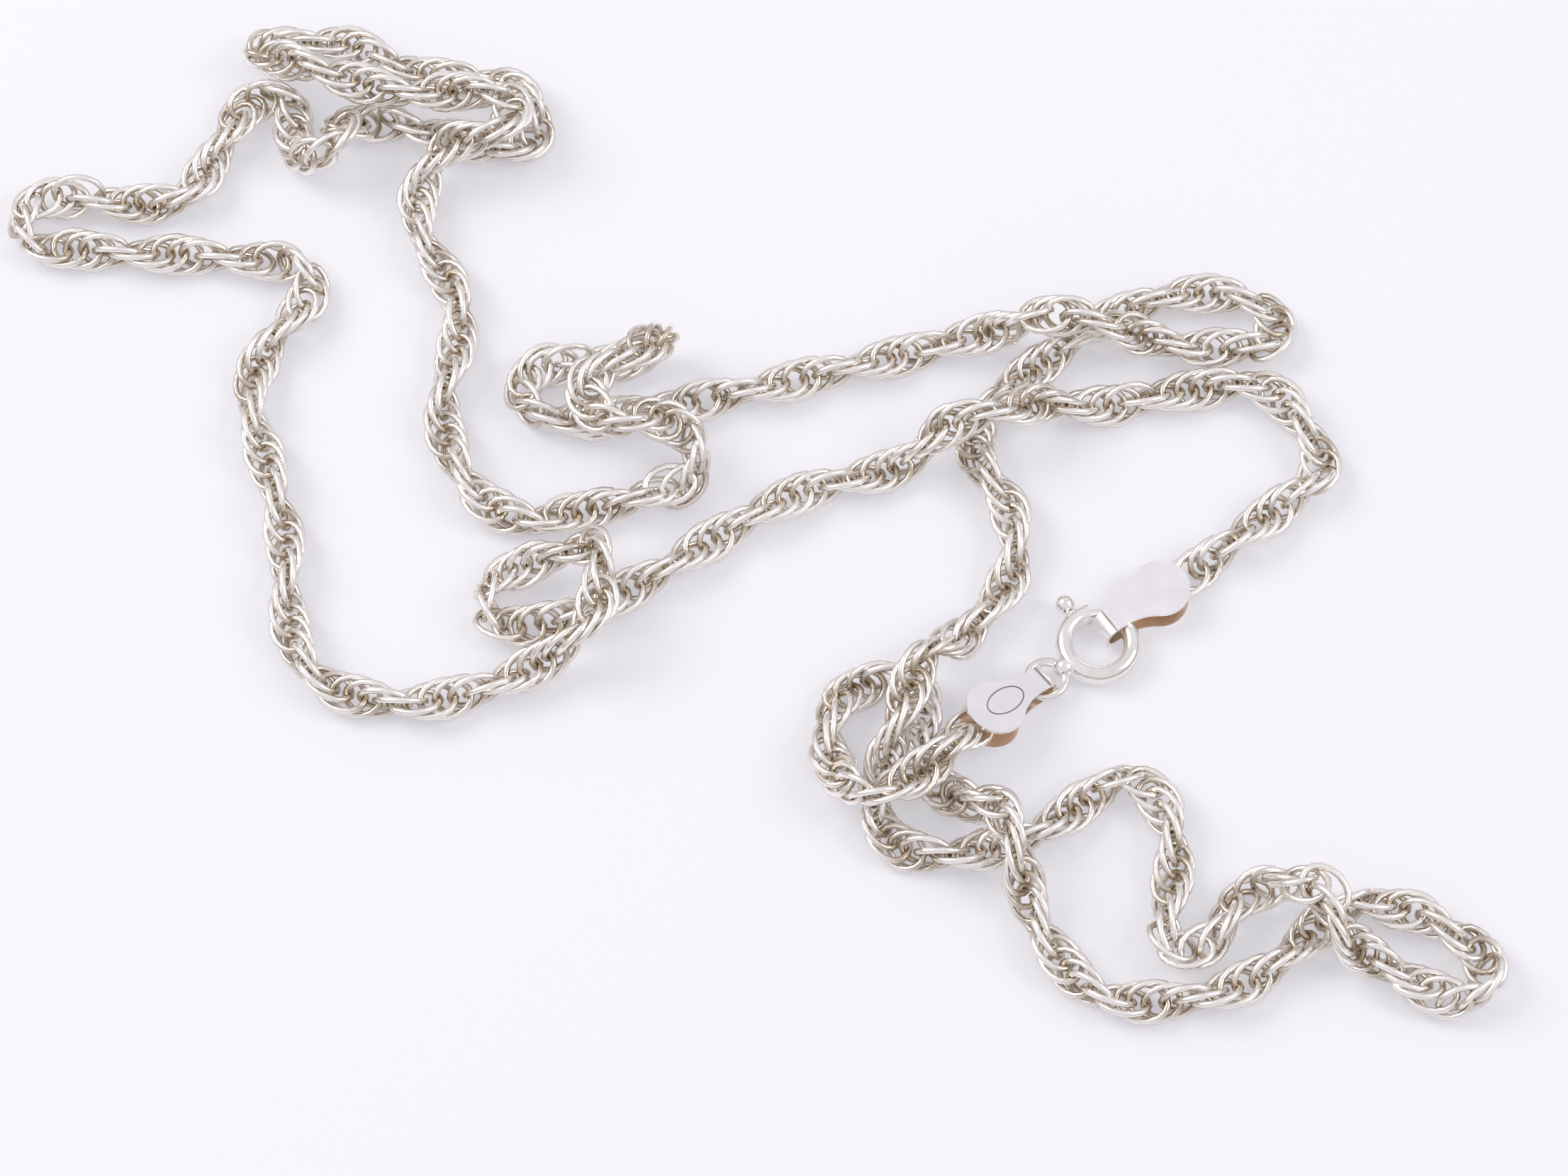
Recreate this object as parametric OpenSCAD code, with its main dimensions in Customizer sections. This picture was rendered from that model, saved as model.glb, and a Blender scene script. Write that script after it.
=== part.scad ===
// Rope chain necklace with a spring ring clasp, lying loosely tangled on a flat surface.
// Units are millimetres. X runs along the tangle, Y across it, Z up from the surface.
// The chain itself is a tube of the rope's own width, laid along the path that the rope takes.

/* [Chain] */
// Width of the rope, across its links
chain_d = 2.8; // [2.5:0.1:2.9]
// Air between two strands where one lies over the other
cross_gap = 0.2; // [0.1:0.05:0.4]

/* [Spring ring] */
// Outer diameter of the spring ring
ring_od = 6; // [5.6:0.1:6.4]
// Width of the ring's hollow tube, seen from above
ring_tube = 1.2; // [1.15:0.05:1.3]
// Height of the ring's hollow tube, which is an upright oval in section
ring_high = 1.6; // [1.45:0.05:1.7]
// Bore of the ring's hollow tube
ring_bore = 0.75; // [0.7:0.05:0.85]
// Direction of the right tube end, counted from +X
gap_from = 50; // [46:1:54]
// Direction of the left tube end, counted from +X
gap_to = 105; // [100:1:110]
// How much the lip round the left tube end stands proud
lip_proud = 0.08; // [0.02:0.01:0.1]
// Width of that lip along the tube
lip_w = 0.2; // [0.1:0.05:0.4]

/* [Trigger] */
// Running clearance between tongue and bore
tongue_clear = 0.07; // [0.05:0.01:0.09]
// How far the tongue reaches into the right tube end, in degrees
tongue_reach = 6; // [4:1:8]
// How far the tongue runs on behind its knob, in degrees
tongue_tail = 24; // [15:1:30]
// Direction of the closed knob, counted from +X
knob_at = 126; // [122:1:130]
// Diameter of the knob
knob_d = 1.4; // [1.1:0.05:1.5]
// Height of the knob's centre above the outside of the ring
knob_out = 0.8; // [0.8:0.05:1.1]
// Diameter of the stem under the knob
stem_d = 0.45; // [0.4:0.05:0.55]
// Clearance beside the stem in its slot
stem_clear = 0.05; // [0.04:0.01:0.1]
// Travel of the trigger, in degrees
trigger_travel = 55; // [45:1:57]

/* [Eyelet] */
// Outer diameter of the eyelet soldered to the ring
eyelet_od = 3.3; // [3.2:0.1:3.5]
// Wire of the eyelet
eyelet_wire = 0.65; // [0.55:0.05:0.7]
// Direction of the eyelet, counted from +X
eyelet_at = 216; // [214:1:218]
// How far the eyelet sinks into the solder on the ring
eyelet_sink = 0.1; // [0.05:0.01:0.2]
// Width of the solder that joins the eyelet to the ring
solder_w = 1.5; // [1.2:0.1:1.5]

/* [Tags] */
// Thickness of the folded sheet
sheet_t = 0.3; // [0.25:0.05:0.35]
// Air between the sheet and the tube that it is folded round
fold_clear = 0.05; // [0.04:0.01:0.1]
// Length of a tag from its fold to its round end
tag_l = 7.5; // [7.2:0.1:7.7]
// Width of a tag at its round end
tag_w = 4.2; // [3.8:0.05:4.4]
// Width of a tag at its fold
fold_w = 1.8; // [1.6:0.05:1.85]
// Length of the straight stretch next to the fold
neck_l = 0.7; // [0.5:0.1:1]
// Diameter of the solder post that holds the last link
post_d = 0.7; // [0.6:0.05:0.9]
// Distance of the post's edge from the round end
post_inset = 0.75; // [0.6:0.05:1]
// Heading of the right tag, counted from +X
tag_right_turn = 35; // [32:1:38]
// How far the right tag's fold stands back from the ring's tube
tag_right_slack = 0.7; // [0.6:0.05:0.85]
// Heading of the left tag, counted from +X
tag_left_turn = 220; // [218:1:222]
// How much the left tag rises towards the chain
tag_left_rise = 15; // [13:1:17]
// How far the left tag's fold lies from the middle of the eyelet, along the tag
tag_left_along = 1; // [0.95:0.05:1.05]
// How much the left tag's fold is lifted off the eyelet's wire
tag_left_lift = 0.15; // [0.1:0.05:0.2]
// Length of the oval line engraved on the left tag
oval_l = 3.2; // [2.6:0.1:3.4]
// Width of that oval
oval_w = 1.9; // [1.6:0.1:2.1]
// Width of the engraved line
line_w = 0.1; // [0.08:0.02:0.16]
// Depth of the engraved line
line_deep = 0.06; // [0.04:0.01:0.1]

/* [Hidden] */
$fn = 64;

// Where the middle of the spring ring lies
RING_AT = [26.05, -11.3];

// The rope's path from the left tag: x, y and level. Level 0 lies on the surface,
// and level 1 lies on a strand that is on the surface.
LEFT_PATH = [
    // over the crossing by the tag, round the small loop and back under the tag's end
    [16.3, -19.4, 0.7], [15.3, -21.0, 1.0], [10.0, -23.5, 1.0], [7.5, -21.0, 0.3],
    [7.0, -18.0, 0.0], [8.0, -15.5, 0.0], [12.5, -14.5, 0.0], [14.0, -18.5, 0.0],
    // over the returning strand and down along the lower bow
    [14.5, -21.5, 0.0], [16.5, -24.0, 0.3], [18.5, -25.0, 1.0], [20.0, -28.0, 1.0],
    [21.0, -32.0, 0.0], [25.0, -37.0, 0.0], [31.0, -38.0, 0.0], [36.5, -36.0, 0.0],
    // out to the lower right tip, back over itself and into the corner
    [42.0, -31.5, 0.0], [47.0, -31.5, 0.0], [50.5, -33.5, 0.0], [51.5, -36.0, 0.0],
    [49.5, -37.5, 0.0], [44.5, -35.5, 0.0], [41.5, -33.5, 1.0], [39.5, -31.0, 1.0],
    [37.0, -30.0, 0.2], [34.5, -31.0, 0.0], [33.0, -33.5, 0.0], [30.5, -34.0, 0.0],
    // up again, left under the other strand and round to the small loop
    [30.0, -31.5, 0.0], [31.0, -26.0, 0.0], [28.0, -22.0, 0.0], [20.5, -26.0, 0.0],
    [14.0, -27.5, 0.0], [11.0, -25.5, 0.0], [11.0, -21.5, 0.0], [11.5, -18.5, 0.8],
    [12.5, -16.5, 1.0], [14.0, -14.0, 1.0], [16.5, -11.0, 0.1], [20.5, -5.0, 0.0],
    // up under the middle strand, round the upper right tip and back over itself
    [20.0, -1.0, 0.0], [17.5, 4.0, 0.0], [20.0, 8.5, 0.0], [29.5, 15.5, 0.0],
    [36.0, 16.5, 0.0], [39.0, 15.5, 0.0], [39.5, 13.5, 0.0], [37.5, 12.3, 0.0],
    [32.0, 12.0, 0.1], [27.5, 12.5, 1.0], [22.5, 13.0, 1.0], [18.0, 13.0, 0.0],
    // left to the bunched loop in the middle, which climbs back over itself
    [7.0, 10.0, 0.0], [-8.0, 6.5, 0.0], [-12.0, 6.5, 0.0], [-14.5, 8.0, 0.0],
    [-13.5, 10.5, 0.0], [-8.0, 11.0, 0.0], [-5.0, 11.5, 0.4], [-5.5, 10.5, 1.3],
    [-9.0, 8.5, 1.3], [-10.0, 6.5, 1.3], [-8.5, 4.5, 1.3], [-5.5, 5.0, 1.2],
    [-3.0, 3.5, 0.6], [-3.0, 1.0, 0.0], [-5.5, 0.0, 0.0],
    // and on along the upper left bow
    [-15.0, -1.5, 0.0], [-18.5, 1.0, 0.0], [-20.5, 6.0, 0.0], [-19.5, 15.0, 0.0],
];
RIGHT_PATH = [
    [-19.5, 15.0, 0.0], [-22.5, 22.0, 0.0], [-22.5, 26.0, 0.2], [-20.5, 27.5, 0.9],
    // the upper left knot: left on top, back on the surface, round and left again
    [-17.5, 28.0, 1.0], [-16.0, 30.0, 1.0], [-17.5, 31.5, 1.0], [-25.5, 32.0, 1.0],
    [-31.0, 34.0, 1.0], [-33.5, 35.0, 0.8], [-34.7, 36.5, 0.4], [-33.0, 37.5, 0.0],
    [-28.0, 37.5, 0.0], [-23.0, 35.0, 0.0], [-16.5, 34.0, 0.0], [-14.6, 32.5, 0.0],
    [-14.2, 30.2, 0.0], [-16.2, 29.0, 0.0], [-20.5, 29.5, 0.0], [-26.5, 31.0, 0.0],
    // the short kink that hangs out of the knot
    [-28.5, 30.0, 0.6], [-29.0, 28.0, 0.9], [-31.0, 27.5, 0.5], [-32.0, 29.5, 0.0],
    [-33.0, 32.5, 0.0], [-36.0, 32.0, 0.0],
    // out to the left tip and down the long left bow
    [-40.0, 24.5, 0.0], [-43.5, 24.0, 0.0], [-49.5, 24.5, 0.0], [-51.5, 22.5, 0.0],
    [-49.5, 20.5, 0.0], [-32.5, 19.0, 0.0], [-30.5, 16.5, 0.0], [-34.5, 9.0, 0.0],
    [-31.5, -1.5, 0.0], [-30.5, -11.0, 0.0], [-27.0, -15.0, 0.0], [-21.5, -16.0, 0.0],
    // the knot in the middle: over the leaving strand, round and back under
    [-15.0, -14.0, 0.0], [-11.5, -12.5, 0.5], [-9.5, -11.0, 1.0], [-9.0, -7.0, 1.0],
    [-10.5, -5.0, 0.8], [-14.5, -5.5, 0.0], [-16.5, -8.0, 0.0], [-14.5, -10.0, 0.0],
    // the long straight strand, over the first one and round to the right tag
    [-9.0, -8.5, 0.0], [5.0, 0.5, 0.0], [12.5, 2.5, 0.0], [16.0, 4.5, 1.0],
    [21.0, 6.0, 1.0], [25.0, 7.0, 0.0], [37.5, 9.0, 0.0], [41.0, 6.5, 0.0],
    [42.5, 3.0, 0.0], [40.0, 0.0, 0.0], [32.4, -5.9, 0.0],
];

// The tube has this many sides, and one of them always faces down
TUBE_SIDES = 8;
side_turn = 360 / TUBE_SIDES;
tube_corner_r = chain_d / 2 / cos(side_turn / 2);
level_h = chain_d + cross_gap;

// Heights and radii of the clasp, which lies on the lower leaves of the tags
fold_gap = ring_high + 2 * fold_clear;
clasp_z = sheet_t + fold_gap / 2;
fold_r = fold_gap / 2 + sheet_t;
ring_r = (ring_od - ring_tube) / 2;
tongue_r = ring_bore / 2 - tongue_clear;
slot_w = stem_d + 2 * stem_clear;
eyelet_far = ring_od / 2 + eyelet_od / 2 - eyelet_sink;
eyelet_r = (eyelet_od - eyelet_wire) / 2;
// How far a cut runs past the face that it opens, in millimetres and in degrees
over = 0.5;
over_turn = 1;

// The outline of a tag's leaf. Each flank is an arc that starts along the neck and ends
// square to the round end's own arc.
round_r = tag_w / 2;
round_s = tag_l - fold_r - round_r;
flank_r = (pow(round_s - neck_l, 2) + pow(fold_w / 2, 2) - pow(round_r, 2)) / (tag_w - fold_w);
flank_turn = atan2(fold_w / 2 + flank_r, round_s - neck_l);
ARC_STEPS = 12;
OVAL_STEPS = 40;

// Where the tags' folds are centred
ring_point = RING_AT + ring_r * [cos(gap_from), sin(gap_from)];
right_fold = ring_point - tag_right_slack * [cos(tag_right_turn), sin(tag_right_turn)];
eyelet_mid = RING_AT + eyelet_far * [cos(eyelet_at), sin(eyelet_at)];
left_fold = eyelet_mid + tag_left_along * [cos(tag_left_turn), sin(tag_left_turn)];

function unit(v) = v / norm(v);
function place(p) = [p.x, p.y, chain_d / 2 + p.z * level_h];

// The rope's heading at point i of a path
function heading(path, i) =
    let (last = len(path) - 1,
         before = i == 0 ? [0, 0, 0] : unit(path[i] - path[i - 1]),
         after = i == last ? [0, 0, 0] : unit(path[i + 1] - path[i]))
    unit(before + after);

function level_up(along) = unit([0, 0, 1] - along.z * along);

// The direction of the tube's first side at each point. A side always faces down, and the
// numbering of the sides carries on from the ring before, so that the tube never twists.
function side_ups(path, i, last_up) =
    i == len(path) ? [] :
    let (along = heading(path, i),
         up = level_up(along),
         right = cross(along, up),
         steps = round(atan2(last_up * right, last_up * up) / side_turn),
         this_up = cos(steps * side_turn) * up + sin(steps * side_turn) * right)
    concat([this_up], side_ups(path, i + 1, this_up));

function ring_of_corners(centre, along, up) =
    let (right = cross(along, up))
    [for (k = [0 : TUBE_SIDES - 1])
        let (turn = (k + 0.5) * side_turn)
        centre + tube_corner_r * (cos(turn) * up + sin(turn) * right)];

module rope(points) {
    path = [for (p = points) place(p)];
    ups = side_ups(path, 0, level_up(heading(path, 0)));
    corners = [for (i = [0 : len(path) - 1])
        each ring_of_corners(path[i], heading(path, i), ups[i])];
    last = (len(path) - 1) * TUBE_SIDES;
    near_cap = [[for (k = [TUBE_SIDES - 1 : -1 : 0]) k]];
    far_cap = [[for (k = [0 : TUBE_SIDES - 1]) last + k]];
    walls = [for (i = [0 : len(path) - 2], k = [0 : TUBE_SIDES - 1])
        let (next = (k + 1) % TUBE_SIDES, here = i * TUBE_SIDES)
        each [[here + k, here + next, here + TUBE_SIDES + next],
              [here + k, here + TUBE_SIDES + next, here + TUBE_SIDES + k]]];
    polyhedron(corners, concat(near_cap, far_cap, walls));
}

module chain_left() {
    color("silver") rope(LEFT_PATH);
}

module chain_right() {
    color("gainsboro") rope(RIGHT_PATH);
}

// A stretch of a ring of round wire, between two directions
module wire_arc(middle_r, wire_r, from, to) {
    rotate([0, 0, from])
        rotate_extrude(angle = to - from)
            translate([middle_r, 0]) circle(wire_r);
}

// A stretch of the ring's tube, with a flat side inside and outside and a round top and bottom
module tube_arc(grow, from, to) {
    rise = (ring_high - ring_tube) / 2;
    rotate([0, 0, from])
        rotate_extrude(angle = to - from)
            translate([ring_r, 0]) {
                for (side = [-1, 1]) translate([0, side * rise]) circle(ring_tube / 2 + grow);
                square([ring_tube + 2 * grow, 2 * rise], center = true);
            }
}

module spring_ring() {
    lip_turn = lip_w / ring_r * 180 / PI;
    color("whitesmoke") translate([RING_AT.x, RING_AT.y, clasp_z])
        difference() {
            union() {
                tube_arc(0, gap_to, 360 + gap_from);
                tube_arc(lip_proud, gap_to, gap_to + lip_turn);
                eyelet();
            }
            wire_arc(ring_r, ring_bore / 2, gap_to - over_turn, 360 + gap_from + over_turn);
            knob_slot();
        }
}

// The eyelet and the drop of solder that joins it to the ring
module eyelet() {
    rotate([0, 0, eyelet_at]) {
        translate([eyelet_far, 0, 0]) wire_arc(eyelet_r, eyelet_wire / 2, 0, 360);
        translate([ring_od / 2, 0, 0]) sphere(d = solder_w);
    }
}

// The slot that the trigger's stem runs along, round at both ends
module knob_slot() {
    inner = ring_r;
    outer = ring_od / 2 + over;
    rotate([0, 0, knob_at])
        rotate_extrude(angle = trigger_travel)
            translate([inner, -slot_w / 2]) square([outer - inner, slot_w]);
    for (turn = [knob_at, knob_at + trigger_travel])
        rotate([0, 0, turn]) translate([inner, 0, 0]) rotate([0, 90, 0])
            cylinder(d = slot_w, h = outer - inner);
}

// The tongue inside the tube, with its stem and knob
module trigger() {
    knob_r = ring_od / 2 + knob_out;
    color("gainsboro") translate([RING_AT.x, RING_AT.y, clasp_z]) {
        wire_arc(ring_r, tongue_r, gap_from - tongue_reach, knob_at + tongue_tail);
        rotate([0, 0, knob_at]) {
            translate([ring_r, 0, 0]) rotate([0, 90, 0]) cylinder(d = stem_d, h = knob_r - ring_r);
            translate([knob_r, 0, 0]) sphere(d = knob_d);
        }
    }
}

// A leaf's outline: a narrow neck at the fold that widens in two hollow flanks to a round end
module leaf_outline() {
    flank = [for (i = [0 : ARC_STEPS])
        let (turn = 90 - (90 - flank_turn) * i / ARC_STEPS)
        [neck_l + flank_r * cos(turn), fold_w / 2 + flank_r - flank_r * sin(turn)]];
    round_end = [for (i = [1 : 2 * ARC_STEPS - 1])
        let (turn = (180 - flank_turn) * (1 - i / ARC_STEPS))
        [round_s + round_r * cos(turn), round_r * sin(turn)]];
    mirrored = [for (i = [ARC_STEPS : -1 : 0]) [flank[i].x, -flank[i].y]];
    polygon(concat([[0, fold_w / 2]], flank, round_end, mirrored, [[0, -fold_w / 2]]));
}

// A folded tag, with the middle of its fold at the origin and its round end along +X
module tag() {
    for (low = [-fold_r, fold_gap / 2])
        translate([0, 0, low]) linear_extrude(sheet_t) leaf_outline();
    rotate([90, 0, 0]) linear_extrude(fold_w, center = true)
        difference() {
            circle(fold_r);
            circle(fold_gap / 2);
            translate([0, -fold_r - over]) square(2 * fold_r + 2 * over);
        }
    translate([tag_l - fold_r - post_inset - post_d / 2, 0, -fold_r + sheet_t / 2])
        cylinder(d = post_d, h = fold_gap + sheet_t);
}

function oval(half_l, half_w) =
    [for (i = [0 : OVAL_STEPS - 1])
        let (turn = 360 * i / OVAL_STEPS)
        [half_l * cos(turn), half_w * sin(turn)]];

// The line of an oval, with nothing in it
module oval_line() {
    difference() {
        polygon(oval(oval_l / 2, oval_w / 2));
        polygon(oval(oval_l / 2 - line_w, oval_w / 2 - line_w));
    }
}

module tag_left() {
    color("lightgray") translate([left_fold.x, left_fold.y, clasp_z + tag_left_lift])
        rotate([0, 0, tag_left_turn]) rotate([0, -tag_left_rise, 0])
            difference() {
                tag();
                translate([round_s - fold_w / 2, 0, fold_r - line_deep])
                    linear_extrude(over) oval_line();
            }
}

module tag_right() {
    color("lightgray") translate([right_fold.x, right_fold.y, clasp_z])
        rotate([0, 0, tag_right_turn]) tag();
}

chain_left();
chain_right();
spring_ring();
trigger();
tag_left();
tag_right();
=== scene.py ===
import math
import bpy
import numpy as np
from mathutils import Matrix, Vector


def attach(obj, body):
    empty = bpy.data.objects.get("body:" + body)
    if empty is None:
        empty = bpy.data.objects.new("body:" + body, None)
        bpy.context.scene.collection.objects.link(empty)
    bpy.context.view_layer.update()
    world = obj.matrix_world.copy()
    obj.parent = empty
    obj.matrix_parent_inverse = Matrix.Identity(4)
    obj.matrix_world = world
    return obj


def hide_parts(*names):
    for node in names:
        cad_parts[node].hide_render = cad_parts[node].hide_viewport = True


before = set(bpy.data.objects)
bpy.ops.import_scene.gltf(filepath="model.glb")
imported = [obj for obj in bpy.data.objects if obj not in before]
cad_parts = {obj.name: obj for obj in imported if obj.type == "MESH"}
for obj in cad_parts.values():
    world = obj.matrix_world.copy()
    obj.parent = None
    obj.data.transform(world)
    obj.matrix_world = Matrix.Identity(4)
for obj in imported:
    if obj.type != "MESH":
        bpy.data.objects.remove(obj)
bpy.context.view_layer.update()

# The chain and the tags are in millimetres up to their meshes. The meshes, the camera, the floor
# and the lights are in metres, as the frame is.
MM = 0.001

# The rope's middle line, as in the part's source: x, y and level, from the left tag to the right
# one. Level 0 lies on the surface, and level 1 on a strand that lies there.
CHAIN_D = 2.8
LEVEL_H = 3.0
LINE_STEP = 0.05
LEFT_PATH = [
    # over the crossing by the tag, round the small loop and back under the tag's end
    [16.3, -19.4, 0.7], [15.3, -21.0, 1.0], [10.0, -23.5, 1.0], [7.5, -21.0, 0.3],
    [7.0, -18.0, 0.0], [8.0, -15.5, 0.0], [12.5, -14.5, 0.0], [14.0, -18.5, 0.0],
    # over the returning strand and down along the lower bow
    [14.5, -21.5, 0.0], [16.5, -24.0, 0.3], [18.5, -25.0, 1.0], [20.0, -28.0, 1.0],
    [21.0, -32.0, 0.0], [25.0, -37.0, 0.0], [31.0, -38.0, 0.0], [36.5, -36.0, 0.0],
    # out to the lower right tip, back over itself and into the corner
    [42.0, -31.5, 0.0], [47.0, -31.5, 0.0], [50.5, -33.5, 0.0], [51.5, -36.0, 0.0],
    [49.5, -37.5, 0.0], [44.5, -35.5, 0.0], [41.5, -33.5, 1.0], [39.5, -31.0, 1.0],
    [37.0, -30.0, 0.2], [34.5, -31.0, 0.0], [33.0, -33.5, 0.0], [30.5, -34.0, 0.0],
    # up again, left under the other strand and round to the small loop
    [30.0, -31.5, 0.0], [31.0, -26.0, 0.0], [28.0, -22.0, 0.0], [20.5, -26.0, 0.0],
    [14.0, -27.5, 0.0], [11.0, -25.5, 0.0], [11.0, -21.5, 0.0], [11.5, -18.5, 0.8],
    [12.5, -16.5, 1.0], [14.0, -14.0, 1.0], [16.5, -11.0, 0.1], [20.5, -5.0, 0.0],
    # up under the middle strand, round the upper right tip and back over itself
    [20.0, -1.0, 0.0], [17.5, 4.0, 0.0], [20.0, 8.5, 0.0], [29.5, 15.5, 0.0],
    [36.0, 16.5, 0.0], [39.0, 15.5, 0.0], [39.5, 13.5, 0.0], [37.5, 12.3, 0.0],
    [32.0, 12.0, 0.1], [27.5, 12.5, 1.0], [22.5, 13.0, 1.0], [18.0, 13.0, 0.0],
    # left to the bunched loop in the middle, which climbs back over itself
    [7.0, 10.0, 0.0], [-8.0, 6.5, 0.0], [-12.0, 6.5, 0.0], [-14.5, 8.0, 0.0],
    [-13.5, 10.5, 0.0], [-8.0, 11.0, 0.0], [-5.0, 11.5, 0.4], [-5.5, 10.5, 1.3],
    [-9.0, 8.5, 1.3], [-10.0, 6.5, 1.3], [-8.5, 4.5, 1.3], [-5.5, 5.0, 1.2],
    [-3.0, 3.5, 0.6], [-3.0, 1.0, 0.0], [-5.5, 0.0, 0.0],
    # and on along the upper left bow
    [-15.0, -1.5, 0.0], [-18.5, 1.0, 0.0], [-20.5, 6.0, 0.0], [-19.5, 15.0, 0.0],
]
RIGHT_PATH = [
    [-19.5, 15.0, 0.0], [-22.5, 22.0, 0.0], [-22.5, 26.0, 0.2], [-20.5, 27.5, 0.9],
    # the upper left knot: left on top, back on the surface, round and left again
    [-17.5, 28.0, 1.0], [-16.0, 30.0, 1.0], [-17.5, 31.5, 1.0], [-25.5, 32.0, 1.0],
    [-31.0, 34.0, 1.0], [-33.5, 35.0, 0.8], [-34.7, 36.5, 0.4], [-33.0, 37.5, 0.0],
    [-28.0, 37.5, 0.0], [-23.0, 35.0, 0.0], [-16.5, 34.0, 0.0], [-14.6, 32.5, 0.0],
    [-14.2, 30.2, 0.0], [-16.2, 29.0, 0.0], [-20.5, 29.5, 0.0], [-26.5, 31.0, 0.0],
    # the short kink that hangs out of the knot
    [-28.5, 30.0, 0.6], [-29.0, 28.0, 0.9], [-31.0, 27.5, 0.5], [-32.0, 29.5, 0.0],
    [-33.0, 32.5, 0.0], [-36.0, 32.0, 0.0],
    # out to the left tip and down the long left bow
    [-40.0, 24.5, 0.0], [-43.5, 24.0, 0.0], [-49.5, 24.5, 0.0], [-51.5, 22.5, 0.0],
    [-49.5, 20.5, 0.0], [-32.5, 19.0, 0.0], [-30.5, 16.5, 0.0], [-34.5, 9.0, 0.0],
    [-31.5, -1.5, 0.0], [-30.5, -11.0, 0.0], [-27.0, -15.0, 0.0], [-21.5, -16.0, 0.0],
    # the knot in the middle: over the leaving strand, round and back under
    [-15.0, -14.0, 0.0], [-11.5, -12.5, 0.5], [-9.5, -11.0, 1.0], [-9.0, -7.0, 1.0],
    [-10.5, -5.0, 0.8], [-14.5, -5.5, 0.0], [-16.5, -8.0, 0.0], [-14.5, -10.0, 0.0],
    # the long straight strand, over the first one and round to the right tag
    [-9.0, -8.5, 0.0], [5.0, 0.5, 0.0], [12.5, 2.5, 0.0], [16.0, 4.5, 1.0],
    [21.0, 6.0, 1.0], [25.0, 7.0, 0.0], [37.5, 9.0, 0.0], [41.0, 6.5, 0.0],
    [42.5, 3.0, 0.0], [40.0, 0.0, 0.0], [32.4, -5.9, 0.0],
]

# A link is an oval of round wire, meshed in steps round the oval and sides round the wire
WIRE_D = 0.48
LINK_L = 4.1
LINK_W = 3.15
RING_STEPS = 16
WIRE_SIDES = 6
half_l = (LINK_L - WIRE_D) / 2
half_w = (LINK_W - WIRE_D) / 2

# The way from link to link, and how far each turns to the right against the last one. The rope is
# taut where it runs straight. It is loose where it bends by LOOSE_BEND radians a mm or more, and
# a bend loosens it up to BEND_REACH away. A loose link lies SIDE_STEP beside the middle line.
PITCH_TAUT = 1.15
PITCH_LOOSE = 1.0
TWIST_TAUT = math.radians(27)
TWIST_LOOSE = math.radians(30)
LOOSE_BEND = 0.16
BEND_REACH = 5.0
SIDE_STEP = 0.35

# The rope was laid down by hand: uneven shifts and tilts of its links
SEED = 4
SHAKE = 0.05
TILT = math.radians(4)

# Two links at each end lie straight in their tag, END_STEP apart, and the outer one hangs on the
# tag's post with END_GAP of air
END_LINKS = [0, 1, -2, -1]
END_STEP = 1.22
END_GAP = 0.02

# Rings that stand out of the rope in the photo: their middle, and the way that they face. The
# nearest link is drawn towards each, by LOOSE_REACH at most.
LOOSE_REACH = 1.1
LOOSE_RINGS = [
    (-11.3, 10.7, 3.6, 0.2, -0.6, 0.8),
    (21.5, 12.9, 5.0, 0.2, -0.7, 0.7),
    (-18.0, -10.6, 1.5, 0.1, 0.3, 0.9),
    (41.1, -30.6, 5.0, 0.1, -0.3, 0.9),
    (51.0, -36.1, 2.4, -0.3, -0.2, 0.9),
    (-8.9, -4.3, 4.4, 1.0, -0.1, 0.1),
    (-47.5, 24.7, 2.6, 0.1, -0.5, 0.8),
    (-3.9, 1.1, 2.6, 0.1, -0.4, 0.9),
    (31.5, -35.1, 3.0, 0.0, -0.3, 0.9),
]

# The links settle in rounds, while their wires grow from a share of their thickness to all of it.
# The pairs of links that may meet are found anew every few rounds.
ROUNDS = 100
THICK_FIRST = 0.4
THICK_GROWTH = 1.1
PAIRS_EVERY = 5
# In each round a link goes back these shares of the way to where it was laid, and moves and
# turns by no more than this in all
HOME_MOVE = 0.02
HOME_TURN = 0.01
MOST_MOVE = 0.2
MOST_SPIN = 0.15
# The loose rings are drawn out by this share, from one share of the rounds to another
LOOSE_PULL = 0.06
LOOSE_FROM = 0.5
LOOSE_TO = 0.85
# The tangle's highest point
TOP = 6.85

# The nearest places of two wires are found in rough steps round each of them. Once one is found,
# the steps beside it are put too far away to be found again.
SEARCH_STEPS = 16
SEARCH_BESIDE = 2
SEARCH_FAR = 100
# Exact steps follow. Each slides a place by no more than MOST_SLIDE radians, and its curvature
# and determinant are kept away from where it would go wrong.
EXACT_STEPS = 4
MOST_SLIDE = 0.25
LEAST_CURVE = -1
LEAST_DET = 0.15
# Keeps a division by nothing away
TINY = 1e-9

# The tags, as in the part's source: the middle of the fold, the heading and the rise
TAGS = {
    "left": {"at": (21.60, -14.62, 1.30), "turn": math.radians(220), "rise": math.radians(15)},
    "right": {"at": (27.02, -9.86, 1.15), "turn": math.radians(35), "rise": 0.0},
}
# From the middle of the fold to the tag's round end, and that end's radius
TAG_TIP = 6.35
LEAF_R = 2.1
# The sheet's thickness, and its middle's distance from the plane between the leaves
LEAF_T = 0.3
LEAF_OFF = 1.0
# The ring inside a leaf that keeps links from slipping through it
LEAF_INNER_R = 0.66 * LEAF_R
# The solder post: its middle's distance from the tag's end, and its diameter
POST_IN = 1.1
POST_D = 0.7
# The engraved line's depth, and what counts as no distance
LINE_DEEP = 0.06
HAIR = 0.01

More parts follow.
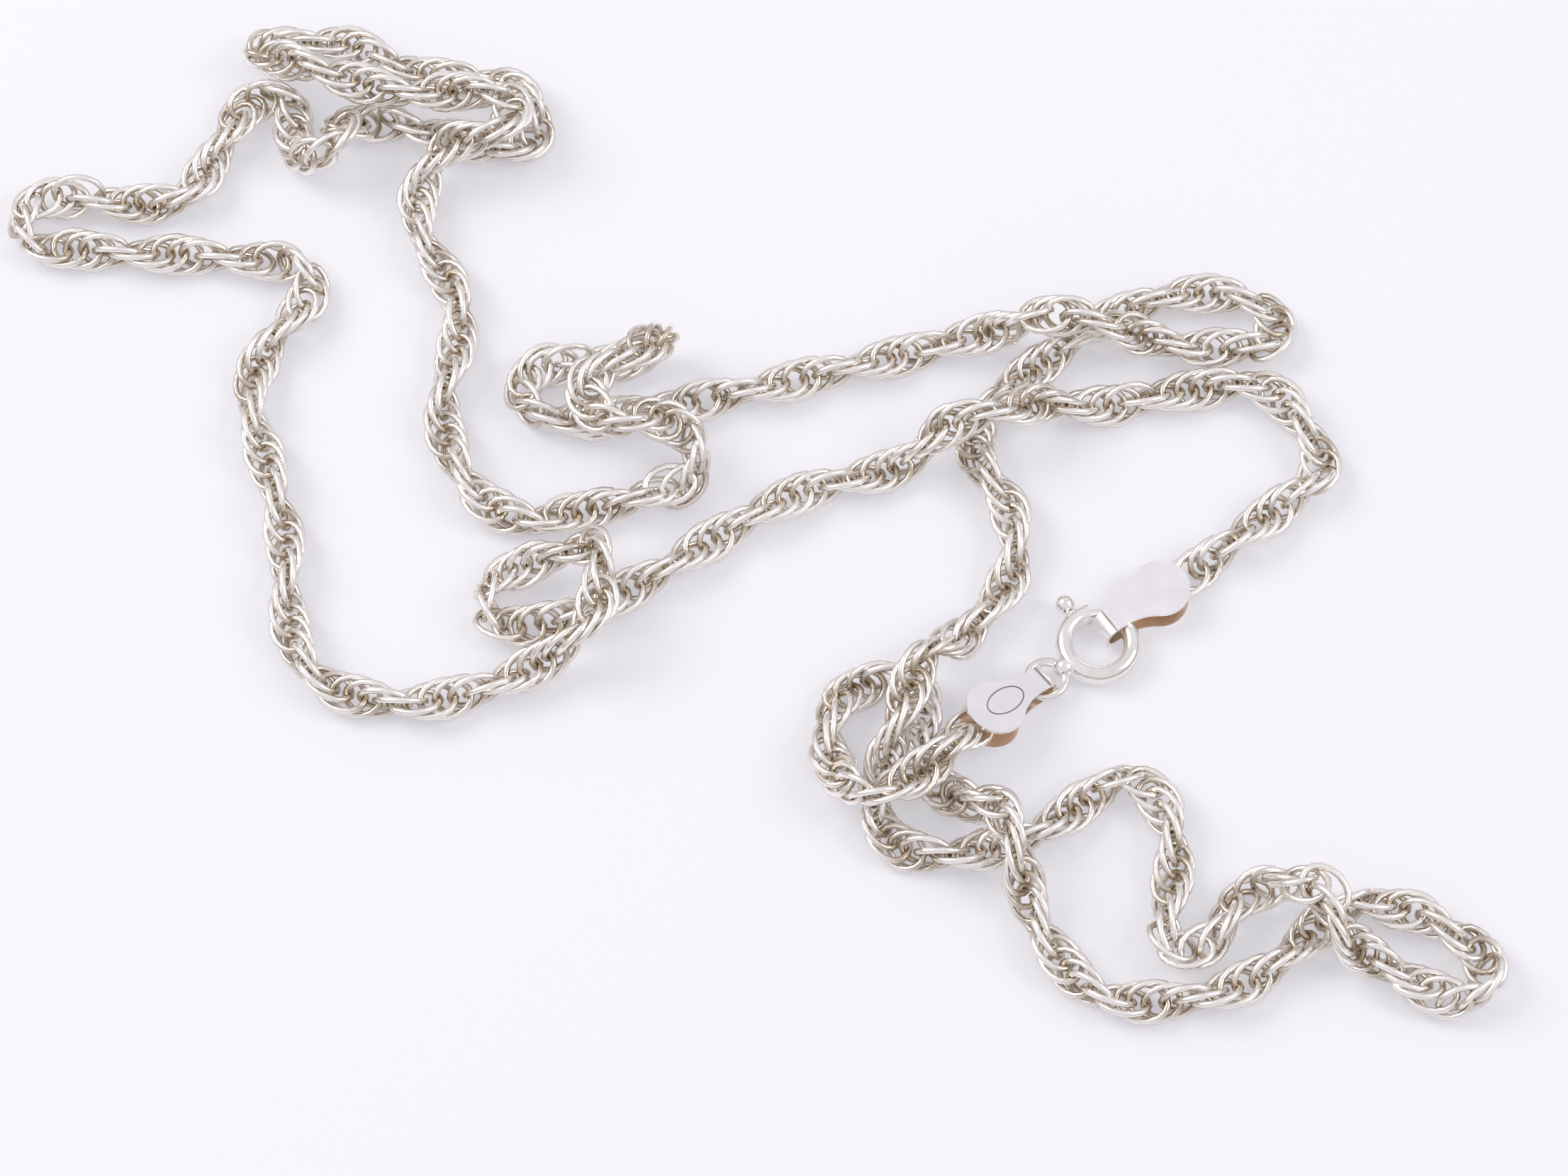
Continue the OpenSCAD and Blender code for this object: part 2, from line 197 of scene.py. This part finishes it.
# The silvers: light and dark tint, roughness from and to, and how strong the fine marks are.
# For the rope's links the dark tint is also painted shade, on wire towards the rope's middle.
SILVERS = {
    # painted shade: the rope's dark tint stands for the shade deep in the rope, mixed with random
    # tarnish
    "chain_silver": {"light": (0.96, 0.92, 0.88, 1), "dark": (0.60, 0.52, 0.42, 1),
                     "rough": (0.18, 0.32), "marks": 0.2, "paints_recess_shade": True},
    "clasp_silver": {"light": (0.94, 0.92, 0.90, 1), "dark": (0.84, 0.81, 0.76, 1),
                     "rough": (0.10, 0.18), "marks": 0.05},
    "sheet_silver": {"light": (0.97, 0.95, 0.97, 1), "dark": (0.92, 0.89, 0.91, 1),
                     "rough": (0.28, 0.36), "marks": 0.1},
    "line_grey": {"light": (0.42, 0.38, 0.36, 1), "dark": (0.30, 0.27, 0.24, 1),
                  "rough": (0.35, 0.45), "marks": 0.1},
    # painted shade: the inner faces between a tag's leaves are warm brown, as the gap lies in
    # shadow
    "leaf_gap_shade": {"light": (0.95, 0.83, 0.70, 1), "dark": (0.74, 0.55, 0.40, 1),
                     "rough": (0.30, 0.40), "marks": 0.1},
}

# Their noise patterns, in spots a metre, how many finer layers each has, and the marks' depth
TARNISH_SCALE = 420.0
POLISH_SCALE = 900.0
MARK_SCALE = 2600.0
TARNISH_DETAIL = 3.0
POLISH_DETAIL = 2.0
MARK_DETAIL = 3.0
MARK_DEPTH = 0.00005
# The shades between which the dark tint turns to the light one. On the rope the dark tint is
# painted shade: wire counts as outside, unshaded, at OPEN_AT from the rope's middle, and the
# tarnish adds its share to that.
PLAIN_SHADES = (0.35, 0.6)
RECESS_SHADE_STOPS = (0.45, 0.95)
OPEN_AT = 1.7
TARNISH_SHARE = 0.35

# The camera stands 65 degrees above the surface, as in the photo
PHOTO_W = 2212
FOCAL_PIXELS = 6500
SENSOR_W = 36
AIM = Vector((0.0040, -0.0064, 0.0))
CAMERA_RISE = math.radians(65)
CAMERA_AWAY = 0.3266

# The pale floor glows a little, which keeps the shadows as light as the photo's
FLOOR_HALF = 3.0
FLOOR_TINT = (0.48, 0.475, 0.49, 1)
FLOOR_GLOW = (0.96, 0.94, 1.0, 1)
FLOOR_GLOW_STRENGTH = 0.38
FLOOR_ROUGH = 0.8
FLOOR_SHINE = 0.1

# The room is darker near the surface, which is height 0, than above, which is height 1. It has
# two large soft lights at its sides, with their power in watts.
ROOM_LOW = (0.42, 0.40, 0.38, 1)
ROOM_HIGH = (0.93, 0.92, 0.96, 1)
ROOM_HEIGHTS = (0.10, 0.45)
ROOM_STRENGTH = 0.86
LIGHTS = {
    "key": {"place": (-0.42, 0.16, 0.46), "size": (0.36, 0.36), "power": 1.9,
            "tint": (1.0, 0.99, 0.97)},
    "fill": {"place": (0.45, -0.05, 0.42), "size": (0.26, 0.30), "power": 0.9,
             "tint": (0.97, 0.98, 1.0)},
}


# The rope's middle line

def unit(v):
    return v / np.linalg.norm(v, axis=-1, keepdims=True)


def dot(a, b):
    return (a * b).sum(-1)


def hermite_run(points, step):
    """A smooth curve through the points, as short steps of about even length."""
    chord = np.linalg.norm(np.diff(points, axis=0), axis=1)
    at = np.concatenate([[0], np.cumsum(chord)])
    slope = np.empty_like(points)
    slope[1:-1] = (points[2:] - points[:-2]) / (at[2:] - at[:-2])[:, None]
    slope[0] = (points[1] - points[0]) / chord[0]
    slope[-1] = (points[-1] - points[-2]) / chord[-1]
    t = np.arange(0, at[-1], step)
    i = np.clip(np.searchsorted(at, t, side="right") - 1, 0, len(chord) - 1)
    h = chord[i][:, None]
    f = (t - at[i])[:, None] / h
    return (points[i] * (2 * f**3 - 3 * f**2 + 1) + points[i + 1] * (3 * f**2 - 2 * f**3)
            + slope[i] * h * (f**3 - 2 * f**2 + f) + slope[i + 1] * h * (f**3 - f**2))


def tag_axes(tag):
    """The tag's own directions: along it, across it and out of its upper leaf."""
    along = np.array([math.cos(tag["turn"]) * math.cos(tag["rise"]),
                      math.sin(tag["turn"]) * math.cos(tag["rise"]), math.sin(tag["rise"])])
    across = np.array([-math.sin(tag["turn"]), math.cos(tag["turn"]), 0])
    return along, across, np.cross(along, across)


def end_link_at(tag):
    """The middle of the link that hangs on the tag's post."""
    along = tag_axes(tag)[0]
    hang = half_l - (POST_D + WIRE_D) / 2 - END_GAP
    return np.array(tag["at"]) + (TAG_TIP - POST_IN + hang) * along


def at_height(rows):
    """The path's points with their level turned into a height."""
    rows = np.array(rows)
    rows[..., 2] = CHAIN_D / 2 + rows[..., 2] * LEVEL_H
    return rows


def route():
    """The middle line of the whole rope, from one end link to the other."""
    rows = at_height(LEFT_PATH + RIGHT_PATH[1:])
    rows[0] = end_link_at(TAGS["left"])
    rows[-1] = end_link_at(TAGS["right"])
    return hermite_run(rows, LINE_STEP)


# The links before they settle

def looseness(line, length):
    """From 0 where the rope is straight to 1 where it bends."""
    along = unit(np.gradient(line, axis=0))
    bend = np.linalg.norm(np.gradient(along, axis=0), axis=1) / np.gradient(length)
    reach = int(BEND_REACH / LINE_STEP)
    window = np.hanning(2 * reach + 1)
    bend = np.convolve(np.pad(bend, reach, mode="edge"), window / window.sum(), mode="valid")
    return np.clip(bend / LOOSE_BEND, 0, 1)


def running_sum(rate, length):
    """The sum of a rate along the line, up to each of its points."""
    return np.concatenate([[0], np.cumsum((rate[1:] + rate[:-1]) / 2 * np.diff(length))])


def carried_side(along):
    """A direction across the rope at each link, carried along it without turning round it."""
    side = np.empty_like(along)
    side[0] = np.cross([0, 0, 1], along[0])
    for i in range(1, len(along)):
        side[i] = side[i - 1] - (side[i - 1] @ along[i]) * along[i]
        side[i] /= np.linalg.norm(side[i])
    return unit(side)


def links_along(line):
    """Middle, long axis, short axis and side step of each link."""
    length = np.concatenate([[0], np.cumsum(np.linalg.norm(np.diff(line, axis=0), axis=1))])
    loose = looseness(line, length)
    pitch = PITCH_TAUT + (PITCH_LOOSE - PITCH_TAUT) * loose
    number = running_sum(1 / pitch, length)
    twist = running_sum((TWIST_TAUT + (TWIST_LOOSE - TWIST_TAUT) * loose) / pitch, length)
    at = np.interp(np.linspace(0, number[-1], int(number[-1]) + 1), number, length)
    middle = np.stack([np.interp(at, length, line[:, k]) for k in range(3)], 1)
    along = unit(np.gradient(middle, axis=0))
    # the end links lie straight in their tags
    along[:2] = tag_axes(TAGS["left"])[0]
    along[-2:] = -tag_axes(TAGS["right"])[0]
    middle[1] = middle[0] + END_STEP * along[0]
    middle[-2] = middle[-1] - END_STEP * along[-1]
    side = carried_side(along)
    up = np.cross(along, side)
    turn = np.interp(at, length, twist)
    # the last link lies flat in its tag, as the first one does
    flat = np.cross([0, 0, 1], along[-1])
    wanted = math.atan2(flat @ up[-1], flat @ side[-1])
    turn *= (wanted + math.pi * round((turn[-1] - wanted) / math.pi)) / turn[-1]
    turn = turn[:, None]
    across = np.cos(turn) * side + np.sin(turn) * up
    off = np.interp(at, length, loose)[:, None] * SIDE_STEP * np.cross(along, across)
    off[END_LINKS] = 0
    return middle, along, across, off


# The links as they settle

class Chain:
    """Rigid oval links that push each other apart where their wires would meet.

    Each has its middle, its directions along, across and facing out of its plane, its two half
    axes and the radius of its wire. Held links don't move. Places on a wire are angles round it.
    """

    def __init__(self, middle, along, across):
        count = len(middle)
        self.middle = middle.copy()
        self.along = along.copy()
        self.across = across.copy()
        self.half_along = np.full(count, half_l)
        self.half_across = np.full(count, half_w)
        self.wire_r = np.full(count, WIRE_D / 2)
        self.held = np.zeros(count, bool)
        self.held[END_LINKS] = True

    def turn_by(self, spin):
        """Turns each link by a small angle about its middle."""
        self.along = unit(self.along + np.cross(spin, self.along))
        self.across = self.across + np.cross(spin, self.across)

    def square(self):
        """Makes the directions of each link square to each other again."""
        self.across -= dot(self.across, self.along)[:, None] * self.along
        self.across = unit(self.across)
        self.facing = np.cross(self.along, self.across)

    def shake(self, rng):
        """Small uneven shifts and tilts of the links."""
        free = ~self.held[:, None]
        self.middle += rng.normal(0, SHAKE, self.middle.shape) * free
        self.turn_by(rng.normal(0, TILT, self.middle.shape) * free)

    def add_leaves(self):
        """Held rings that stand for the tags' leaves, two a leaf. They aren't drawn."""
        for tag in TAGS.values():
            along, across, out = tag_axes(tag)
            for side in (-1, 1):
                place = np.array(tag["at"]) + (TAG_TIP - LEAF_R) * along + side * LEAF_OFF * out
                for radius in (LEAF_R - LEAF_T / 2, LEAF_INNER_R):
                    self.middle = np.vstack([self.middle, place])
                    self.along = np.vstack([self.along, along])
                    self.across = np.vstack([self.across, across])
                    self.half_along = np.append(self.half_along, radius)
                    self.half_across = np.append(self.half_across, radius)
                    self.wire_r = np.append(self.wire_r, LEAF_T / 2)
                    self.held = np.append(self.held, True)

    def choose_loose(self):
        """Picks the nearest free link for each ring that stands out of the rope."""
        rows = np.array(LOOSE_RINGS)
        at = rows[:, :3]
        gap = np.linalg.norm(self.middle[:, None] - at[None], axis=2)
        gap[self.held] = np.inf
        self.loose = gap.argmin(0)
        away = at - self.middle[self.loose]
        far = np.linalg.norm(away, axis=1, keepdims=True)
        self.loose_at = self.middle[self.loose] + away * np.minimum(1, LOOSE_REACH / far)
        self.loose_facing = unit(rows[:, 3:])

    def point(self, i, angle):
        """The place at an angle round the wire of each link i."""
        return (self.middle[i] + (self.half_along[i] * np.cos(angle))[:, None] * self.along[i]
                + (self.half_across[i] * np.sin(angle))[:, None] * self.across[i])

    def slope(self, i, angle):
        """How that place moves as its angle grows."""
        return ((self.half_across[i] * np.cos(angle))[:, None] * self.across[i]
                - (self.half_along[i] * np.sin(angle))[:, None] * self.along[i])

    def near_pairs(self):
        """Pairs of links near enough to meet, of which at least one can move."""
        gap = np.linalg.norm(self.middle[:, None] - self.middle[None], axis=2)
        i, j = np.nonzero(np.triu(gap < LINK_L, 1))
        free = ~(self.held[i] & self.held[j])
        return i[free], j[free]

    def search(self, i, j):
        """The nearest place of each pair of wires, and the nearest on another stretch."""
        angles = np.linspace(0, 2 * np.pi, SEARCH_STEPS, endpoint=False)
        ring = ((self.half_along[:, None] * np.cos(angles))[..., None] * self.along[:, None]
                + (self.half_across[:, None] * np.sin(angles))[..., None] * self.across[:, None]
                + self.middle[:, None])
        one, two = ring[i], ring[j]
        gap = ((one**2).sum(2)[:, :, None] + (two**2).sum(2)[:, None]
               - 2 * one @ two.transpose(0, 2, 1))
        rows = np.arange(len(i))
        found = []
        for place in range(2):
            nearest = gap.reshape(len(i), -1).argmin(1)
            on_one, on_two = nearest // SEARCH_STEPS, nearest % SEARCH_STEPS
            found.append((i, j, angles[on_one], angles[on_two]))
            for beside in range(-SEARCH_BESIDE, SEARCH_BESIDE + 1):
                gap[rows, (on_one + beside) % SEARCH_STEPS] += SEARCH_FAR
        return (np.concatenate(column) for column in zip(*found))

    def contacts(self, i, j):
        """The nearest places of each pair of wires, with the links that they are on.

        From the rough places, Newton's steps lead to the least distance.
        """
        i, j, t, s = self.search(i, j)
        for step in range(EXACT_STEPS):
            p, q = self.point(i, t), self.point(j, s)
            slope_p, slope_q = self.slope(i, t), self.slope(j, s)
            gap = p - q
            bend_t = np.maximum(dot(gap, self.middle[i] - p), LEAST_CURVE)
            bend_s = np.maximum(-dot(gap, self.middle[j] - q), LEAST_CURVE)
            rate_t, rate_s = dot(gap, slope_p), -dot(gap, slope_q)
            curve_t, curve_s = dot(slope_p, slope_p) + bend_t, dot(slope_q, slope_q) + bend_s
            curve_ts = -dot(slope_p, slope_q)
            det = np.maximum(curve_t * curve_s - curve_ts**2, LEAST_DET)
            slide_t = (curve_s * rate_t - curve_ts * rate_s) / det
            slide_s = (curve_t * rate_s - curve_ts * rate_t) / det
            t = t - np.clip(slide_t, -MOST_SLIDE, MOST_SLIDE)
            s = s - np.clip(slide_s, -MOST_SLIDE, MOST_SLIDE)
        return i, j, self.point(i, t), self.point(j, s)

    def turn_of(self, i, arm):
        """How each link i turns under a push of length 1 with this arm.

        It turns less about an axis that its wire lies farther from.
        """
        spread_along, spread_across = self.half_along[i]**2 / 2, self.half_across[i]**2 / 2
        spreads = (spread_across, spread_along, spread_along + spread_across)
        ways = (self.along[i], self.across[i], self.facing[i])
        return sum(way * (dot(way, arm) / spread)[:, None] for way, spread in zip(ways, spreads))

    def softness(self, i, place, way):
        """How readily each link i gives way to a push along a way at a place."""
        arm = np.cross(place - self.middle[i], way)
        return np.where(self.held[i], 0, 1 + dot(arm, self.turn_of(i, arm)))

    def push(self, i, place, way, depth):
        """Adds what moves and turns each link i by a push along a way at a place."""
        turn = self.turn_of(i, np.cross(place - self.middle[i], way))
        np.add.at(self.move, i, way * depth[:, None])
        np.add.at(self.spin, i, turn * depth[:, None])
        np.add.at(self.pushes, i, 1)

    def part_wires(self, pairs, thick):
        """Pushes links apart where their wires meet at this share of their thickness."""
        i, j, p, q = self.contacts(*pairs)
        gap = p - q
        far = np.linalg.norm(gap, axis=1)
        apart = (self.wire_r[i] + self.wire_r[j]) * thick
        hit = far < apart
        i, j, p, q, gap, far, apart = (column[hit] for column in (i, j, p, q, gap, far, apart))
        way = gap / np.maximum(far, TINY)[:, None]
        share = 1 / np.maximum(self.softness(i, p, way) + self.softness(j, q, way), TINY)
        self.push(i, p, way, (apart - far) * share)
        self.push(j, q, -way, (apart - far) * share)

    def rise(self):
        """How far the middle of each link's wire reaches above and below the link's middle."""
        return np.hypot(self.half_along * self.along[:, 2], self.half_across * self.across[:, 2])

    def keep_between(self):
        """Pushes the links up from the surface and down from the tangle's highest point."""
        rise = self.rise() + TINY
        lift_along = self.half_along[:, None]**2 * self.along[:, 2:]
        lift_across = self.half_across[:, None]**2 * self.across[:, 2:]
        peak = (self.along * lift_along + self.across * lift_across) / rise[:, None]
        for sign in (-1, 1):
            edge = self.middle[:, 2] + sign * (rise + self.wire_r)
            depth = -edge if sign < 0 else edge - TOP
            hit = np.nonzero((depth > 0) & ~self.held)[0]
            place = self.middle[hit] + sign * peak[hit]
            way = np.tile([0, 0, -float(sign)], (len(hit), 1))
            share = 1 / self.softness(hit, place, way)
            self.push(hit, place, way, depth[hit] * share)

    def pull_home(self):
        """Draws every link back to where it was laid."""
        self.move += HOME_MOVE * (self.home - self.middle)
        self.spin += HOME_TURN * (np.cross(self.along, self.home_along)
                                  + np.cross(self.across, self.home_across))

    def pull_loose(self):
        """Draws the loose rings out and turns them to face as in the photo, on either side."""
        facing = self.facing[self.loose]
        side = np.sign(dot(facing, self.loose_facing))[:, None]
        self.home[self.loose] = self.loose_at
        self.move[self.loose] += LOOSE_PULL * (self.loose_at - self.middle[self.loose])
        self.spin[self.loose] += LOOSE_PULL * np.cross(facing, side * self.loose_facing)

    def settle(self, rounds):
        """Grows the wires to their full thickness while the links give way to each other."""
        self.home = self.middle.copy()
        self.home_along = self.along.copy()
        self.home_across = self.across.copy()
        for k in range(rounds):
            self.square()
            if k % PAIRS_EVERY == 0:
                pairs = self.near_pairs()
            self.move = np.zeros_like(self.middle)
            self.spin = np.zeros_like(self.middle)
            self.pushes = np.zeros(len(self.middle))
            self.part_wires(pairs, min(1, THICK_FIRST + THICK_GROWTH * k / rounds))
            self.keep_between()
            # a link that is pushed from many sides takes a part of each push
            ease = 2 / (1 + np.maximum(self.pushes, 1))[:, None]
            self.move *= ease
            self.spin *= ease
            self.pull_home()
            if LOOSE_FROM * rounds < k < LOOSE_TO * rounds:
                self.pull_loose()
            self.move[self.held] = 0
            self.spin[self.held] = 0
            self.middle += np.clip(self.move, -MOST_MOVE, MOST_MOVE)
            self.turn_by(np.clip(self.spin, -MOST_SPIN, MOST_SPIN))
        self.square()
        self.lift()

    def lift(self):
        """Moves what still reaches under the surface, or too high, straight up or down."""
        reach = self.rise() + self.wire_r
        height = np.clip(self.middle[:, 2], reach, TOP - reach)
        self.middle[:, 2] = np.where(self.held, self.middle[:, 2], height)


def build_chain(rounds):
    """The settled links, and the rope's middle and direction at each of them."""
    core, heading, across, off = links_along(route())
    chain = Chain(core + off, heading, across)
    chain.shake(np.random.default_rng(SEED))
    chain.add_leaves()
    chain.choose_loose()
    chain.settle(rounds)
    return chain, core, heading


def first_right_link(core):
    """The link nearest to the point where the left and the right node meet."""
    return int(np.linalg.norm(core - at_height(LEFT_PATH[-1]), axis=1).argmin())


# The links' meshes

def add_object(name, data):
    obj = bpy.data.objects.new(name, data)
    bpy.context.scene.collection.objects.link(obj)
    return obj


def ring_grid(chain, rows):
    """Corners of the links' wires: an array of links, steps round the link and wire sides."""
    t = np.linspace(0, 2 * np.pi, RING_STEPS, endpoint=False)
    q = np.linspace(0, 2 * np.pi, WIRE_SIDES, endpoint=False)
    cos_t, sin_t = np.cos(t)[None, :, None], np.sin(t)[None, :, None]
    cos_q, sin_q = np.cos(q)[None, None, :, None], np.sin(q)[None, None, :, None]
    along, across = chain.along[rows][:, None], chain.across[rows][:, None]
    facing = chain.facing[rows][:, None, None]
    wire = chain.middle[rows][:, None] + half_l * cos_t * along + half_w * sin_t * across
    out = unit(half_w * cos_t * along + half_l * sin_t * across)
    return wire[:, :, None] + WIRE_D / 2 * (cos_q * out[:, :, None] + sin_q * facing)


def openness(grid, core, heading):
    """From 0 for wire in the middle of the rope to 1 for wire at its outside, as the mask of the
    painted shade in the rope's recesses.
    """
    off = grid - core[:, None, None]
    heading = heading[:, None, None]
    ahead = dot(off, heading)[..., None]
    return np.clip(np.linalg.norm(off - ahead * heading, axis=-1) / OPEN_AT, 0, 1)


def mesh_of_links(name, grid, shade):
    """One joined mesh of all the given links, with each corner's shade as an attribute."""
    link, step, side = np.meshgrid(*(np.arange(size) for size in grid.shape[:3]), indexing="ij")

    def corner(ahead, around):
        """The corner that lies so many steps ahead and so many sides around."""
        next_step = (step + ahead) % RING_STEPS
        next_side = (side + around) % WIRE_SIDES
        return (link * RING_STEPS + next_step) * WIRE_SIDES + next_side

    faces = np.stack([corner(0, 0), corner(1, 0), corner(1, 1), corner(0, 1)], -1)
    mesh = bpy.data.meshes.new(name)
    mesh.from_pydata((grid.reshape(-1, 3) * MM).tolist(), [], faces.reshape(-1, 4).tolist())
    mesh.shade_smooth()
    # each corner's openness, the mask of the painted shade in the rope's recesses
    mesh.attributes.new("open", "FLOAT", "POINT").data.foreach_set("value", shade.reshape(-1))
    return add_object(name, mesh)


# Materials

def new_material(name):
    """A new material with its nodes, its links and its shader."""
    mat = bpy.data.materials.new(name)
    mat.use_nodes = True
    nodes = mat.node_tree.nodes
    return mat, nodes, mat.node_tree.links, nodes["Principled BSDF"]


def noise(nodes, links, scale, detail):
    """The height of a noise pattern in the object's own space."""
    where = nodes.new("ShaderNodeTexCoord")
    pattern = nodes.new("ShaderNodeTexNoise")
    pattern.inputs["Scale"].default_value = scale
    pattern.inputs["Detail"].default_value = detail
    links.new(where.outputs["Object"], pattern.inputs["Vector"])
    return pattern.outputs["Fac"]


def ramp(nodes, links, source, tints, places):
    """A colour that turns from the first tint to the second between two places."""
    node = nodes.new("ShaderNodeValToRGB")
    for element, tint, place in zip(node.color_ramp.elements, tints, places):
        element.color = tint
        element.position = place
    links.new(source, node.inputs["Fac"])
    return node.outputs["Color"]


def painted_recess_shade(nodes, links, tarnish):
    """The links' openness as painted shade in the rope's recesses, made uneven by the tarnish."""
    inner = nodes.new("ShaderNodeAttribute")
    inner.attribute_name = "open"
    both = nodes.new("ShaderNodeMath")
    both.operation = "MULTIPLY_ADD"
    both.inputs[1].default_value = TARNISH_SHARE
    links.new(tarnish, both.inputs[0])
    links.new(inner.outputs["Fac"], both.inputs[2])
    return both.outputs["Value"]


def silver(name, light, dark, rough, marks, paints_recess_shade=False):
    """Silver with uneven polish, fine drawing marks and random tarnish, and painted shade in the
    rope's recesses if asked.
    """
    mat, nodes, links, shader = new_material(name)
    shader.inputs["Metallic"].default_value = 1.0
    shade = noise(nodes, links, TARNISH_SCALE, TARNISH_DETAIL)
    # painted shade: wire towards the rope's middle takes more of the dark tint
    if paints_recess_shade:
        shade = painted_recess_shade(nodes, links, shade)
    tint = ramp(nodes, links, shade, (dark, light), RECESS_SHADE_STOPS if paints_recess_shade else PLAIN_SHADES)
    links.new(tint, shader.inputs["Base Color"])
    polish = nodes.new("ShaderNodeMapRange")
    polish.inputs["To Min"].default_value = rough[0]
    polish.inputs["To Max"].default_value = rough[1]
    links.new(noise(nodes, links, POLISH_SCALE, POLISH_DETAIL), polish.inputs["Value"])
    links.new(polish.outputs["Result"], shader.inputs["Roughness"])
    relief = nodes.new("ShaderNodeBump")
    relief.inputs["Strength"].default_value = marks
    relief.inputs["Distance"].default_value = MARK_DEPTH
    links.new(noise(nodes, links, MARK_SCALE, MARK_DETAIL), relief.inputs["Height"])
    links.new(relief.outputs["Normal"], shader.inputs["Normal"])
    return mat


def dress(obj, *materials):
    """Gives the object these materials. Its faces wear the first one."""
    obj.data.materials.clear()
    for mat in materials:
        obj.data.materials.append(mat)


def dress_tag(obj, tag, outside, between, line):
    """Gives a tag its sheet outside, painted shade on the inner faces between the leaves, and its
    own material in the line.
    """
    dress(obj, outside, between, line)
    out = Vector(tag_axes(tag)[2])
    fold = Vector(tag["at"]) * MM
    leaf_top = LEAF_OFF + LEAF_T / 2
    for face in obj.data.polygons:
        above = (obj.matrix_world @ face.center - fold) @ out / MM
        facing = (obj.matrix_world.to_3x3() @ face.normal) @ out
        if abs(above) < LEAF_OFF and facing * above < 0:
            # painted shade: inward faces between the leaves, where the gap lies in shadow
            face.material_index = 1
        elif leaf_top - LINE_DEEP - HAIR < above < leaf_top - HAIR:
            face.material_index = 2


# The stage

def aim(obj, place, way):
    """Puts a camera or a light at a place, looking along a way."""
    obj.location = place
    obj.rotation_euler = way.to_track_quat("-Z", "Y").to_euler()


def make_camera():
    """The photo's camera, with its depth of field left off."""
    data = bpy.data.cameras.new("camera")
    data.sensor_width = SENSOR_W
    data.lens = FOCAL_PIXELS / PHOTO_W * SENSOR_W
    camera = add_object("camera", data)
    away = Vector((0, -math.cos(CAMERA_RISE), math.sin(CAMERA_RISE)))
    aim(camera, AIM + CAMERA_AWAY * away, -away)
    bpy.context.scene.camera = camera


def make_floor():
    side = FLOOR_HALF
    corners = [(-side, -side, 0), (side, -side, 0), (side, side, 0), (-side, side, 0)]
    mesh = bpy.data.meshes.new("floor")
    mesh.from_pydata(corners, [], [(0, 1, 2, 3)])
    floor = add_object("floor", mesh)
    mat, nodes, links, shader = new_material("floor_paper")
    shader.inputs["Base Color"].default_value = FLOOR_TINT
    shader.inputs["Emission Color"].default_value = FLOOR_GLOW
    shader.inputs["Emission Strength"].default_value = FLOOR_GLOW_STRENGTH
    shader.inputs["Roughness"].default_value = FLOOR_ROUGH
    shader.inputs["Specular IOR Level"].default_value = FLOOR_SHINE
    dress(floor, mat)


def make_room():
    """The light that comes from all round, and the plain way in which the colours are shown."""
    world = bpy.data.worlds.new("studio")
    bpy.context.scene.world = world
    world.use_nodes = True
    nodes, links = world.node_tree.nodes, world.node_tree.links
    where = nodes.new("ShaderNodeTexCoord")
    split = nodes.new("ShaderNodeSeparateXYZ")
    links.new(where.outputs["Generated"], split.inputs["Vector"])
    tint = ramp(nodes, links, split.outputs["Z"], (ROOM_LOW, ROOM_HIGH), ROOM_HEIGHTS)
    links.new(tint, nodes["Background"].inputs["Color"])
    nodes["Background"].inputs["Strength"].default_value = ROOM_STRENGTH
    bpy.context.scene.view_settings.view_transform = "Standard"


def make_light(name, place, size, power, tint):
    """A large soft light that faces the middle of the scene."""
    light = bpy.data.lights.new(name, "AREA")
    light.shape = "RECTANGLE"
    light.size = size[0]
    light.size_y = size[1]
    light.energy = power
    light.color = tint
    aim(add_object(name, light), place, -Vector(place))


make_camera()
make_floor()
make_room()
for name, light in LIGHTS.items():
    make_light(name, **light)

metal = {name: silver(name, **look) for name, look in SILVERS.items()}
chain, core, heading = build_chain(ROUNDS)
split = first_right_link(core)
for name, rows in (("left", slice(0, split)), ("right", slice(split, len(core)))):
    grid = ring_grid(chain, rows)
    piece = mesh_of_links("links_" + name, grid, openness(grid, core[rows], heading[rows]))
    dress(piece, metal["chain_silver"])
    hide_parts("chain_" + name)
    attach(piece, "root")

for node in ("spring_ring", "trigger"):
    dress(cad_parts[node], metal["clasp_silver"])
for name, tag in TAGS.items():
    dress_tag(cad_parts["tag_" + name], tag,
              metal["sheet_silver"], metal["leaf_gap_shade"], metal["line_grey"])
